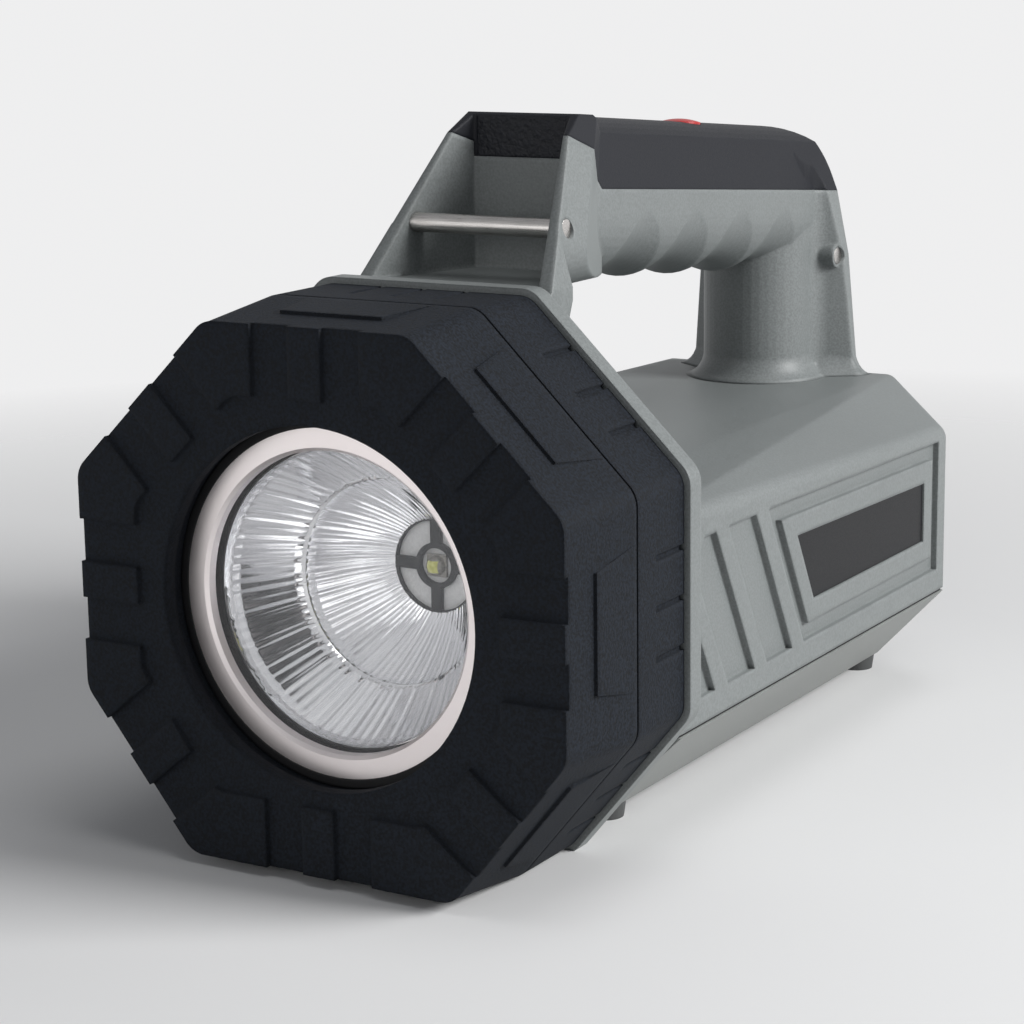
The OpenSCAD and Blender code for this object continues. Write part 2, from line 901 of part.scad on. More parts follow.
module body_side_cuts() {
    side_cut(panel_depth)
        intersection() {
            union()
                for (i = [0 : 2])
                    polygon(panel_points(first_panel + i * panel_pitch));
            polygon(panel_limit);
        }
    side_cut(panel_depth)
        difference() {
            polygon(frame_points(0));
            polygon(frame_points(frame_band));
        }
    side_cut(plate_t + plate_sunk)
        polygon(frame_points(frame_band + frame_w));
}

// Pillars over the feet, and standoffs that hang from the deck over the driver's board
module pillars(r, low, high) {
    both_sides()
        for (y = foot_ys)
            translate([foot_x, y, low])
                cylinder(r = r, h = high - low);
}

module standoffs(r, low, high) {
    both_sides()
        translate([standoff_x, standoff_y, low])
            cylinder(r = r, h = high - low);
}

module flange() {
    intersection() {
        union() {
            slab(flange_y, flange_t - flange_chamfer)
                polygon(head_outline(flange_lip));
            hull() {
                slab(flange_back - flange_chamfer - slice, slice)
                    polygon(head_outline(flange_lip));
                slab(flange_back - slice, slice)
                    polygon(head_outline(flange_lip - flange_chamfer));
            }
        }
        plan(-head_drop, 2 * head_w)
            square(2 * rear_y, center = true);
    }
}

// Screws up into the post and back into the front leg
module at_post_screws() {
    both_sides()
        translate([post_r / 2, post_y + post_r, deck_rise - wall])
            children();
}

module at_leg_screws() {
    both_sides()
        translate([front_half / 2, flange_back - wall, (gusset_h + front_shoulder) / 2])
            rotate([-90, 0, 0])
                children();
}

module body_shell() {
    color([0.55, 0.58, 0.58])
        lamp()
            difference() {
                union() {
                    flange();
                    difference() {
                        body_form(0);
                        difference() {
                            body_form(wall);
                            pillars(boss_r, -floor_drop, deck_rise);
                            standoffs(boss_r, -driver_drop, deck_rise);
                        }
                    }
                    pillars(boss_r, tray_floor, -seam_drop + past);
                }
                body_side_cuts();
                ring(flange_y - past, 0, window_r, flange_t + 2 * past);
                barrel_posts(screw_d / 2 + slip, flange_y - past, flange_back);
                barrel_posts(screw_d + slip, flange_y + wall, flange_back + past);
                for (x = [-sink_screw_x, sink_screw_x])
                    rod_y(x, flange_back + sink_base - small_screw_l, 0, screw_d / 2 + fit, small_screw_l);
                pillars(screw_d / 2 + fit, -floor_drop, -floor_drop + cover_screw_l + past);
                standoffs(screw_d / 2 + fit, -driver_drop - past, -driver_drop + small_screw_l);
                translate([0, duct_y, 0])
                    cylinder(r = duct_r, h = deck_rise + past);
                at_post_screws()
                    cylinder(r = screw_d / 2 + slip, h = small_screw_l);
                at_leg_screws() {
                    cylinder(r = screw_d / 2 + slip, h = small_screw_l);
                    translate([0, 0, -flange_t])
                        cylinder(r = screw_d + slip, h = flange_t);
                }
            }
}

// Cover under the body
module cover_form(inset) {
    top = -seam_drop - seam_seal + (inset > 0 ? past : 0);
    half = body_half - inset * 1.3;
    rear = rear_half_w - inset * flat_growth;
    low_half = floor_half - inset * 0.6;
    hull() {
        plan(top - slice, slice)
            polygon(mirrored([[half, flange_back], [half, side_end], [rear, rear_y - inset]]));
        plan(-floor_drop + inset, slice)
            polygon(mirrored([
                [low_half, flange_back],
                [low_half, floor_end - floor_set],
                [low_half - floor_set, floor_end - inset]
            ]));
    }
}

module bottom_cover() {
    color([0.62, 0.63, 0.6])
        lamp()
            difference() {
                cover_form(0);
                cover_form(wall);
                pillars(screw_d / 2 + slip, -floor_drop - past, tray_floor + past);
            }
}

module bottom_seal() {
    inset = wall / 4;
    color([0.06, 0.06, 0.06])
        lamp()
            plan(-seam_drop - seam_seal, seam_seal)
                difference() {
                    polygon(mirrored([
                        [body_half - inset, flange_back],
                        [body_half - inset, side_end],
                        [rear_half_w - inset, rear_y - inset]
                    ]));
                    polygon(mirrored([
                        [body_half - wall, flange_back - past],
                        [body_half - wall, side_end],
                        [rear_half_w - wall, rear_y - wall]
                    ]));
                }
}

module at_feet() {
    both_sides()
        for (y = foot_ys)
            translate([foot_x, y, -floor_drop])
                children();
}

module feet() {
    draft = 0.6;
    color([0.35, 0.37, 0.36])
        lamp()
            at_feet()
                translate([0, 0, -foot_h])
                    difference() {
                        cylinder(r1 = foot_r - draft, r2 = foot_r, h = foot_h);
                        translate([0, 0, -past])
                            cylinder(r = screw_d + slip, h = foot_h + 2 * past);
                    }
}

module cover_screws() {
    color([0.7, 0.7, 0.72])
        lamp()
            at_feet()
                screw(cover_screw_l);
}

// Handle in side view: front leg, grip and rear post round the hand opening
handle_outline = concat(
    [
        [flange_back, gusset_h],
        [flange_back, lean_start],
        lean,
        [grip_y, grip_rise]
    ],
    corner([grip_y, grip_rise], [handle_rear, top_line(handle_rear)], [handle_rear, deck_rise], rear_corner),
    [
        [handle_rear, deck_rise],
        [post_y - past, deck_rise],
        [post_y - past, under_line(post_y) - past],
        [gusset_y, flare_low - past]
    ]
);

// Cross-section of the grip: crowned top, upright sides and a round underside
grip_section = concat(
    arc([0, -crown_r - slip], crown_r, 90 - crease_a, 90 + crease_a),
    [[-grip_r, -cover_drop - 2 * slip]],
    arc([0, grip_r - grip_h], grip_r, 180, 270),
    arc([0, grip_r - grip_h], grip_r, 270, 360),
    [[grip_r, -cover_drop - 2 * slip]]
);

front_plan = mirrored([
    [front_half, flange_back - past], [front_half, bar_y], [grip_r - flare_in, flare_end]
]);

post_nose = post_r - slip;
post_plan = rounded(
    mirrored([
        [rear_half, handle_rear],
        [rear_half, handle_rear - rear_land],
        [post_r, handle_rear - bend_in],
        [post_r, post_y]
    ]),
    [0, 0, bend_r, post_nose, post_nose, bend_r, 0, 0]
);

// Limits of the front leg, of the flare where it leaves the leg and of the post, in front view
front_top_half = lean_half - plate_slope * lean_below;
front_limit = mirrored([
    [front_top_half, grip_rise],
    [front_half + plate_slope * front_shoulder, 0]
]);

flare_limit = rounded(
    mirrored([
        [front_top_half - slip, grip_rise],
        [front_half - slip + plate_slope * (front_shoulder - flare_low), flare_low]
    ]),
    [0, flare_round, flare_round, 0]
);

rear_limit = mirrored([
    [crease_w / 2, grip_rise],
    [crease_w / 2, rear_edge_h + cover_drop - crown],
    [rear_mid, rear_edge_h],
    [rear_half - rear_draft, rear_bar_h],
    [rear_half, deck_rise]
]);

// Upper limit of the flared ends: flat at the front lip, then along the cover's crease
flare_top = [
    [flange_back, grip_rise],
    [grip_y, grip_rise],
    tilted(lip_l, 0),
    tilted(lip_l + 2 * crown, -crown - 2 * slip),
    tilted(rear_y, -crown - 2 * slip),
    [rear_y + past, 0],
    [flange_back, 0]
];

// Grooves that are deepest under the grip and fade out halfway up its sides
module finger_grooves() {
    groove_r = (pow(finger_pitch / 2, 2) + pow(finger_depth, 2)) / (2 * finger_depth);
    half_a = asin(finger_pitch / 2 / groove_r);
    outer = grip_r + finger_depth + past;
    grip_frame()
        intersection() {
            for (i = [0 : 3])
                translate([0, finger_start + (i + 0.5) * finger_pitch, grip_r + finger_depth - grip_h])
                    rotate([-90, 0, 0])
                        rotate_extrude()
                            polygon(concat(
                                arc([grip_r + groove_r, 0], groove_r, 180 - half_a, 180 + half_a),
                                [[outer, -finger_pitch / 2], [outer, finger_pitch / 2]]
                            ));
            translate([-grip_w, 0, -2 * grip_h])
                cube([2 * grip_w, rear_y, grip_h + grip_r + finger_depth]);
        }
}

// Section of the hollow curve round the post's foot, starting a distance out
function foot_section(out) = concat(
    [[out - past, 0]],
    [for (i = [0 : foot_steps])
        let (a = 90 * i / foot_steps)
        [out - slip + foot_spread * (1 - sin(a)), foot_spread_h * (1 - cos(a))]],
    [[out - past, foot_spread_h]]
);

// The curve along a straight edge of the post, which lies to the left of the run
module foot_run(from, to) {
    step = to - from;
    translate([from[0], from[1], deck_rise])
        rotate([0, 0, atan2(step[1], step[0])])
            rotate([90, 0, 90])
                linear_extrude(norm(step))
                    mirror([1, 0])
                        polygon(foot_section(0));
}

module foot_turn(centre, r) {
    translate([centre[0], centre[1], deck_rise])
        rotate_extrude()
            polygon(foot_section(r));
}

// Block as high as the foot, from the deck up, between two distances behind the rim
module foot_block(from, to) {
    translate([-2 * rear_half, from, deck_rise - past])
        cube([4 * rear_half, to - from, foot_spread_h + 2 * past]);
}

module post_foot() {
    middle = post_y + post_r;
    bend = [post_r, handle_rear - bend_in];
    side = [foot_half, handle_rear - rear_land];
    half_turn = atan2(side[0] - bend[0], side[1] - bend[1]) / 2;
    intersection() {
        foot_turn([0, middle], post_r);
        foot_block(post_y - post_r, middle - slip);
    }
    intersection() {
        both_sides() {
            foot_run([post_r, middle - past], bend);
            foot_run(bend, side);
            foot_run(side, [foot_half, handle_rear]);
            foot_turn(side + past * [-1, tan(half_turn)], past);
        }
        foot_block(post_y, handle_rear);
    }
}

module front_recess() {
    mouth = recess_half + recess_flare * (wall_y - flange_back + past);
    plan(recess_h, grip_rise)
        polygon(mirrored([[recess_half, wall_y], [mouth, flange_back - past]]));
}

module rear_strap_recess() {
    low = deck_rise + rear_recess_up;
    plan(low, rear_edge_h - boss_wall - low)
        polygon(mirrored([
            [rear_recess_back, handle_rear - rear_recess],
            [rear_recess_half, handle_rear - rear_recess_mouth],
            [rear_recess_half, handle_rear + past]
        ]));
}

// Round seats for the ends of the rear bar on the post's slanted sides
module rear_bar_seats() {
    from = rear_recess_half + past;
    both_sides()
        translate([from, rear_bar_y, rear_bar_h])
            rotate([0, 90, 0])
                cylinder(r = bar_d / 2 + rear_bar_rim, h = rear_bar_half - slip - from);
}

// Flared ends of the handle, before the side view is cut out
module handle_ends() {
    intersection() {
        plan(0, 2 * grip_rise)
            polygon(front_plan);
        union() {
            slab(flange_back, gusset_l)
                polygon(front_limit);
            slab(gusset_y - past, flare_end)
                polygon(flare_limit);
        }
    }
    intersection() {
        plan(0, grip_rise)
            polygon(post_plan);
        slab(flange_back, rear_y)
            polygon(rear_limit);
    }
}

module handle_form() {
    difference() {
        intersection() {
            across(4 * front_half)
                polygon(handle_outline);
            union() {
                difference() {
                    grip_frame()
                        slab(0, rear_y)
                            polygon(grip_section);
                    finger_grooves();
                }
                intersection() {
                    across(4 * front_half)
                        polygon(flare_top);
                    union()
                        handle_ends();
                }
            }
        }
        front_recess();
        rear_strap_recess();
    }
}

// Space taken by the black cover: above its edge in side view, and its tongue down the front wall
module cover_zone() {
    tongue_t = 4;
    across(4 * front_half)
        polygon([
            [lean[0] - past, lean[1]],
            lean,
            tilted(cover_slant / 3, -crown - cover_bend),
            tilted(cover_slant, -cover_drop),
            tilted(rear_y, -cover_drop),
            [rear_y + past, 2 * grip_rise],
            [lean[0] - past, 2 * grip_rise]
        ]);
    across(2 * recess_half)
        polygon([
            [wall_y - past, grip_rise - tongue_h],
            [wall_y + tongue_t, grip_rise - tongue_h],
            [wall_y + tongue_t, grip_rise],
            [wall_y - past, grip_rise]
        ]);
}

// Hollow for the switch, and the channel for its lead
module switch_pocket(top) {
    side = switch_w / 2 + slip;
    grip_frame()
        translate([-side, button_at - side, switch_top - switch_h])
            cube([2 * side, 2 * side, top - switch_top + switch_h]);
}

module lead_channel() {
    length = duct_y - grip_y - button_at + 3 * duct_r;
    grip_frame()
        translate([-duct_r, button_at, duct_w - duct_r])
            cube([2 * duct_r, length, 2 * duct_r]);
}

module handle() {
    color([0.55, 0.58, 0.58])
        lamp()
            difference() {
                union() {
                    handle_form();
                    post_foot();
                    rear_bar_seats();
                }
                cover_zone();
                switch_pocket(0);
                lead_channel();
                translate([0, duct_y, deck_rise - past])
                    cylinder(r = duct_r, h = under_line(duct_y) + grip_h / 2 - deck_rise + past);
                rod_x(bar_y, bar_h, bar_d / 2 + fit, 2 * front_half);
                rod_x(rear_bar_y, rear_bar_h, bar_d / 2 + fit, 2 * front_half);
                at_post_screws()
                    cylinder(r = screw_d / 2 + fit, h = small_screw_l);
                at_leg_screws()
                    cylinder(r = screw_d / 2 + fit, h = small_screw_l);
            }
}

module handle_screws() {
    color([0.7, 0.7, 0.72])
        lamp() {
            at_post_screws()
                screw(small_screw_l);
            at_leg_screws()
                screw(small_screw_l);
        }
}

module grip_cover() {
    color([0.09, 0.09, 0.11])
        lamp()
            difference() {
                intersection() {
                    handle_form();
                    cover_zone();
                }
                grip_frame()
                    translate([0, button_at, -grip_h]) {
                        cylinder(r = button_r + gap, h = 2 * grip_h);
                        cylinder(r = collar_r + gap, h = grip_h + collar_top + gap);
                    }
                switch_pocket(switch_top);
            }
}

module front_strap_bar() {
    half = front_half - plate_slope * (bar_h + bar_d / 2 - front_shoulder);
    color([0.7, 0.69, 0.67])
        lamp()
            rod_x(bar_y, bar_h, bar_d / 2, half);
}

module rear_strap_bar() {
    color([0.7, 0.69, 0.67])
        lamp()
            rod_x(rear_bar_y, rear_bar_h, bar_d / 2, rear_bar_half);
}

// Button with a shallow dome and a collar that keeps it under the cover
module switch_button() {
    sphere_r = (pow(button_r, 2) + pow(dome_h, 2)) / (2 * dome_h);
    low = collar_top - collar_t;
    color([0.75, 0.08, 0.08])
        lamp()
            grip_frame()
                translate([0, button_at, 0]) {
                    intersection() {
                        translate([0, 0, low])
                            cylinder(r = button_r, h = button_proud - low);
                        translate([0, 0, button_proud - sphere_r])
                            sphere(r = sphere_r);
                    }
                    translate([0, 0, low])
                        cylinder(r = collar_r, h = collar_t);
                }
}

module switch_body() {
    color([0.15, 0.15, 0.16])
        lamp()
            grip_frame()
                translate([-switch_w / 2, button_at - switch_w / 2, switch_top - switch_h])
                    cube([switch_w, switch_w, switch_h]);
}

// Bare name plates on both sides
module name_plates() {
    color([0.12, 0.12, 0.13])
        lamp()
            both_sides()
                translate([body_half - plate_sunk - plate_t / 2, 0, 0])
                    across(plate_t)
                        polygon(frame_points(frame_band + frame_w + slip));
}

// Battery
module battery_tray() {
    y = cells_y - contact_t - tray_t;
    end_h = 0.8 * cell_d;
    color([0.13, 0.13, 0.14])
        lamp() {
            translate([-tray_half, y, tray_floor])
                cube([2 * tray_half, tray_l, tray_t]);
            for (end = [y, y + tray_l - tray_t])
                translate([-tray_half, end, tray_floor])
                    cube([2 * tray_half, tray_t, end_h]);
        }
}

module battery_cells() {
    cap_l = 1.5;
    color([0.2, 0.3, 0.6])
        lamp()
            for (x = [-cell_x, cell_x])
                for (i = [0 : cells_in_row - 1])
                    translate([x, cells_y + fit + i * cell_l, cell_h])
                        rotate([-90, 0, 0]) {
                            cylinder(d = cell_d, h = cell_l - cap_l);
                            cylinder(d = 0.3 * cell_d, h = cell_l - 2 * fit);
                        }
}

module contact_plates() {
    margin = 6;
    color([0.8, 0.78, 0.7])
        lamp()
            for (y = [cells_y - contact_t, cells_end])
                translate([-cell_x - margin, y, tray_floor + tray_t])
                    cube([2 * (cell_x + margin), contact_t, 0.7 * cell_d]);
}

// Driver board with its coil and capacitors on the underside
module driver_board() {
    color([0.1, 0.35, 0.2])
        lamp()
            difference() {
                translate([0, driver_y, -driver_drop - driver_t]) {
                    translate([-driver_w / 2, 0, 0])
                        cube([driver_w, driver_l, driver_t]);
                    translate([0, 0.7 * driver_l, -coil_h])
                        cylinder(r = coil_r, h = coil_h + slice);
                    for (x = [-2 * capacitor_r, 2 * capacitor_r])
                        translate([x, 0.3 * driver_l, -coil_h])
                            cylinder(r = capacitor_r, h = coil_h + slice);
                }
                standoffs(screw_d / 2 + slip, -driver_drop - driver_t - past, -driver_drop + past);
            }
}

module board_screws() {
    color([0.7, 0.7, 0.72])
        lamp()
            both_sides()
                translate([standoff_x, standoff_y, -driver_drop - driver_t])
                    screw(small_screw_l);
}

// Leads from the driver's board to the emitter's board and up the post to the switch
module leads() {
    rise = tilted((duct_y - grip_y - duct_w * sin(grip_tilt)) / cos(grip_tilt), duct_w);
    end = tilted(button_at + switch_w / 2, duct_w);
    color([0.7, 0.1, 0.1])
        lamp() {
            for (x = [-lead_x, lead_x])
                wire([[x, pedestal_y, lead_h], [x, driver_y + lead_x, lead_h]], lead_d);
            wire([
                [0, driver_y + driver_l - lead_x, lead_h],
                [0, duct_y, lead_h],
                [0, rise[0], rise[1]],
                [0, end[0], end[1]]
            ], lead_d);
        }
}

front_bezel();
head_barrel();
lens_ring();
lens();
lens_seal();
reflector();
led_holder();
led_board();
led_emitter();
heat_sink();
sink_screws();
barrel_screws();
body_shell();
bottom_cover();
bottom_seal();
feet();
cover_screws();
handle();
handle_screws();
grip_cover();
front_strap_bar();
rear_strap_bar();
switch_button();
switch_body();
name_plates();
battery_tray();
battery_cells();
contact_plates();
driver_board();
board_screws();
leads();
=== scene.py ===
import math

import bpy
from mathutils import Matrix, Vector


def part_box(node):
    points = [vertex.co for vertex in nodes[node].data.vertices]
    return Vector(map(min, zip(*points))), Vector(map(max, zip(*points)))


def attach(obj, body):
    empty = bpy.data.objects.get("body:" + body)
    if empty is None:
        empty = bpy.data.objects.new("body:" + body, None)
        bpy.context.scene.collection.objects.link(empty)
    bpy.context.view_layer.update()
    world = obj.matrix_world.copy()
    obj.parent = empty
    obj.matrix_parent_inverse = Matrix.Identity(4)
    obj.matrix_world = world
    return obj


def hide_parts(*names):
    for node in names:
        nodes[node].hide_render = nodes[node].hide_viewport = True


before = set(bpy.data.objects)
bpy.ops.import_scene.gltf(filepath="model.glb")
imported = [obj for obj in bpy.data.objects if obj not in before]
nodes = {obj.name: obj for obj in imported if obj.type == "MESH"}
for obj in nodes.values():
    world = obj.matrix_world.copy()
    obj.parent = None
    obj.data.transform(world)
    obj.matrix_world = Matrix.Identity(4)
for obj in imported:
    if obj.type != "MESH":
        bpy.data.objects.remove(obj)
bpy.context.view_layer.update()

MM = 0.001

# Camera: direction it looks from, distance and aim point, all measured in the part's frame
CAMERA_AZIMUTH = 30.86
CAMERA_ELEVATION = 12.17
CAMERA_ROLL = -0.80
CAMERA_DISTANCE = 577.5 * MM
CAMERA_AIM = Vector((16.51, -58.93, 72.31)) * MM
CAMERA_SENSOR = 36.0
CAMERA_LENS = 93.04

# Reflector: the fluted bowl behind the lens
BOWL_RADIUS = 32.4 * MM
BOWL_DEPTH = 33.0 * MM
BOWL_WALL = 1.2 * MM
ZONE_RADIUS = 23.0 * MM
ZONE_DEPTH = 15.5 * MM
THROAT_RADIUS = 10.5 * MM
COLLAR_WALL = 0.3 * MM
COLLAR_DEPTH = 1.5 * MM
ZONE_STEP = 0.35 * MM
FLUTES = 84
FLUTE_POINTS = 6
FLUTE_DEPTH = 0.24 * MM
FLUTE_SWING = 0.35
FLUTE_BEAT = 2.4
BOWL_ROWS = 22
SHARP_ANGLE = 35

# Light source's phosphor square and the grained panel on the grip cover's tongue
DIE_HALF = 1.3 * MM
TONGUE_HALF = 11.4 * MM

# Finishes: sizes of the clouds in moulded surfaces and of the scuffs and painted highlights on their
# edges
CLOUD_SIZE = 70 * MM
GRIP_CLOUD_SIZE = 60 * MM
SCUFF_AND_HIGHLIGHT_SIZE = 14 * MM
SCUFF_AND_HIGHLIGHT_START, SCUFF_AND_HIGHLIGHT_END = 0.35, 0.6
# Paler tone for the grip's edges: partly scuff wear, partly a painted edge highlight
EDGE_WEAR_AND_HIGHLIGHT = (0.07, 0.072, 0.082)

# Studio: the floor fades out over a span of distances, and each light has a place, a size and watts
FLOOR_SIZE = 4.0
FLOOR_FADE = (0.18, 0.60)
FLOOR_COLOUR = (0.80, 0.80, 0.80)
WORLD_DIFFUSE = (0.125, 0.13, 0.14)
WORLD_LEVEL = (0.86, 0.86, 0.865)
WORLD_ABOVE = (0.26, 0.265, 0.28)
LIGHTS = {
    "key_softbox": ((1.00, 0.20, 0.60), (0.45, 0.45), 15.0),
    "top_softbox": ((0.25, -0.10, 1.10), (0.6, 0.6), 2.4),
    "front_softbox": ((-0.20, -1.10, 0.35), (0.6, 0.4), 1.8),
}


def add_object(name, mesh):
    obj = bpy.data.objects.new(name, mesh)
    bpy.context.scene.collection.objects.link(obj)
    return obj


def aim(obj, place, target, roll=0.0):
    """Points an object's -Z axis from its place to a target, with a roll about that line."""
    back = (place - target).normalized()
    right = Vector((0, 0, 1)).cross(back).normalized()
    up = back.cross(right)
    turn = math.radians(roll)
    across = right * math.cos(turn) + up * math.sin(turn)
    above = up * math.cos(turn) - right * math.sin(turn)
    axes = Matrix((across, above, back)).transposed().to_4x4()
    obj.matrix_world = Matrix.Translation(place) @ axes


# Materials
class Shader:
    """A Principled material with short helpers for its texture nodes."""

    def __init__(self, name, **sockets):
        self.material = bpy.data.materials.new(name)
        self.material.use_nodes = True
        self.tree = self.material.node_tree
        self.bsdf = self.tree.nodes["Principled BSDF"]
        self.place = self.node("ShaderNodeTexCoord").outputs["Object"]
        for socket, value in sockets.items():
            self.bsdf.inputs[socket.replace("_", " ")].default_value = value

    def node(self, kind, **settings):
        made = self.tree.nodes.new(kind)
        for key, value in settings.items():
            setattr(made, key, value)
        return made

    def link(self, source, target):
        self.tree.links.new(source, target)

    def stretched(self, scale):
        mapping = self.node("ShaderNodeMapping")
        mapping.inputs["Scale"].default_value = scale
        self.link(self.place, mapping.inputs["Vector"])
        return mapping.outputs["Vector"]

    def noise(self, size, detail=3.0, place=None):
        made = self.node("ShaderNodeTexNoise")
        made.inputs["Scale"].default_value = 1 / size
        made.inputs["Detail"].default_value = detail
        self.link(place or self.place, made.inputs["Vector"])
        return made.outputs["Fac"]

    def cells(self, size):
        made = self.node("ShaderNodeTexVoronoi")
        made.inputs["Scale"].default_value = 1 / size
        self.link(self.place, made.inputs["Vector"])
        return made.outputs["Distance"]

    def ramp(self, fac, low, high, start=0.3, end=0.7):
        made = self.node("ShaderNodeValToRGB")
        first, last = made.color_ramp.elements
        first.position, last.position = start, end
        first.color, last.color = (*low, 1), (*high, 1)
        self.link(fac, made.inputs["Fac"])
        return made.outputs["Color"]

    def span(self, fac, low, high, start=0.3, end=0.7):
        made = self.node("ShaderNodeMapRange")
        for socket, value in (("From Min", start), ("From Max", end), ("To Min", low), ("To Max", high)):
            made.inputs[socket].default_value = value
        self.link(fac, made.inputs["Value"])
        return made.outputs["Result"]

    def mix(self, fac, first, second, blend="MIX"):
        made = self.node("ShaderNodeMix", data_type="RGBA", blend_type=blend)
        if isinstance(fac, float):
            made.inputs["Factor"].default_value = fac
        else:
            self.link(fac, made.inputs["Factor"])
        for socket, value in ((6, first), (7, second)):
            if isinstance(value, tuple):
                made.inputs[socket].default_value = (*value, 1)
            else:
                self.link(value, made.inputs[socket])
        return made.outputs[2]

    def times(self, first, second):
        made = self.node("ShaderNodeMath", operation="MULTIPLY")
        self.link(first, made.inputs[0])
        self.link(second, made.inputs[1])
        return made.outputs["Value"]

    def within(self, axis, middle, half, blur):
        """1 where a coordinate lies within half of the middle, falling to 0 over the blur."""
        split = self.node("ShaderNodeSeparateXYZ")
        self.link(self.place, split.inputs["Vector"])
        away = self.node("ShaderNodeMath", operation="SUBTRACT")
        away.inputs[1].default_value = middle
        self.link(split.outputs[axis], away.inputs[0])
        size = self.node("ShaderNodeMath", operation="ABSOLUTE")
        self.link(away.outputs["Value"], size.inputs[0])
        return self.span(size.outputs["Value"], 1.0, 0.0, half, half + blur)

    def soft_edges(self, radius):
        """Normal rounded over the edges, and a mask that is 1 along them."""
        bevel = self.node("ShaderNodeBevel", samples=6)
        bevel.inputs["Radius"].default_value = radius
        plain = self.node("ShaderNodeNewGeometry").outputs["Normal"]
        dot = self.node("ShaderNodeVectorMath", operation="DOT_PRODUCT")
        self.link(bevel.outputs["Normal"], dot.inputs[0])
        self.link(plain, dot.inputs[1])
        return bevel.outputs["Normal"], self.span(dot.outputs["Value"], 1.0, 0.0, 0.75, 0.99)

    def bump(self, height, depth, normal=None, strength=1.0):
        made = self.node("ShaderNodeBump")
        made.inputs["Strength"].default_value = strength
        made.inputs["Distance"].default_value = depth
        self.link(height, made.inputs["Height"])
        if normal:
            self.link(normal, made.inputs["Normal"])
        return made.outputs["Normal"]

    def finish(self, colour=None, roughness=None, normal=None):
        for socket, source in (("Base Color", colour), ("Roughness", roughness), ("Normal", normal)):
            if source:
                self.link(source, self.bsdf.inputs[socket])
        return self.material


def moulded(
    name, dark, light, grain, depth, rough,
    edge=0.6 * MM, wear_and_highlight=0.25, speck=(0.93, 1.06), **sockets,
):
    """Moulded plastic or rubber: faint clouds, fine grain and rounded edges lightened by scuffs and a
    painted highlight.
    """
    s = Shader(name, **sockets)
    fine = s.noise(grain, 2.0)
    cloud = s.noise(CLOUD_SIZE, 4.0)
    low, high = ((value,) * 3 for value in speck)
    colour = s.mix(1.0, s.ramp(cloud, dark, light), s.ramp(fine, low, high, 0.35, 0.65), "MULTIPLY")
    rounded, edges = s.soft_edges(edge)
    # Edges mixed toward a paler tone: partly scuff wear, partly a painted edge highlight
    scuffs_and_highlight = s.times(edges, s.span(s.noise(SCUFF_AND_HIGHLIGHT_SIZE, 5.0), 0.0, wear_and_highlight, SCUFF_AND_HIGHLIGHT_START, SCUFF_AND_HIGHLIGHT_END))
    colour = s.mix(scuffs_and_highlight, colour, tuple(min(1.0, c * 1.9 + 0.01) for c in light))
    roughness = s.span(fine, rough - 0.07, rough + 0.07)
    return s.finish(colour, roughness, s.bump(fine, depth, rounded))


def metal(name, dark, light, rough, stretch, **sockets):
    """Metal with fine lines drawn out along one axis."""
    s = Shader(name, Metallic=1.0, **sockets)
    lines = s.noise(1.0, 4.0, s.stretched(stretch))
    cloud = s.noise(6 * MM)
    colour = s.mix(s.span(cloud, 0.0, 0.5), s.ramp(lines, dark, light), light)
    roughness = s.span(lines, rough * 0.7, rough * 1.3)
    rounded, _ = s.soft_edges(0.3 * MM)
    return s.finish(colour, roughness, s.bump(lines, 0.004 * MM, rounded))


def plated(name, dark, light, rough):
    """Smooth bright plating with faint clouds."""
    s = Shader(name, Metallic=1.0)
    cloud = s.noise(24 * MM, 3.0)
    return s.finish(s.ramp(cloud, dark, light), s.span(cloud, rough * 0.9, rough * 1.1))


def clear_lens(name):
    """Thin clear plastic that light passes straight through."""
    s = Shader(name, Alpha=0.10, IOR=1.49)
    dust = s.noise(5 * MM, 6.0)
    return s.finish(
        s.ramp(dust, (0.90, 0.92, 0.94), (0.97, 0.98, 1.0)),
        s.span(dust, 0.02, 0.06, 0.45, 0.8),
    )


def mirror_coat(name):
    """Mirror coating with a faint haze."""
    s = Shader(name, Metallic=1.0)
    haze = s.noise(9 * MM, 4.0)
    return s.finish(s.ramp(haze, (0.86, 0.865, 0.88), (0.93, 0.93, 0.94)), s.span(haze, 0.03, 0.09))


def emitter_dome(name):
    """Clear dome over a yellow phosphor square in a gray frame."""
    s = Shader(name, Coat_Weight=1.0, Coat_Roughness=0.03)
    low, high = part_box("led_emitter")
    die = s.times(
        s.within("X", 0.0, DIE_HALF, 0.1 * MM),
        s.within("Z", (low[2] + high[2]) / 2, DIE_HALF, 0.1 * MM),
    )
    cells = s.cells(0.9 * MM)
    frame_colour = s.ramp(cells, (0.16, 0.15, 0.13), (0.30, 0.28, 0.24), 0.1, 0.6)
    die_colour = s.ramp(cells, (0.55, 0.56, 0.05), (0.74, 0.74, 0.16), 0.1, 0.6)
    return s.finish(s.mix(die, frame_colour, die_colour), s.span(cells, 0.2, 0.4))


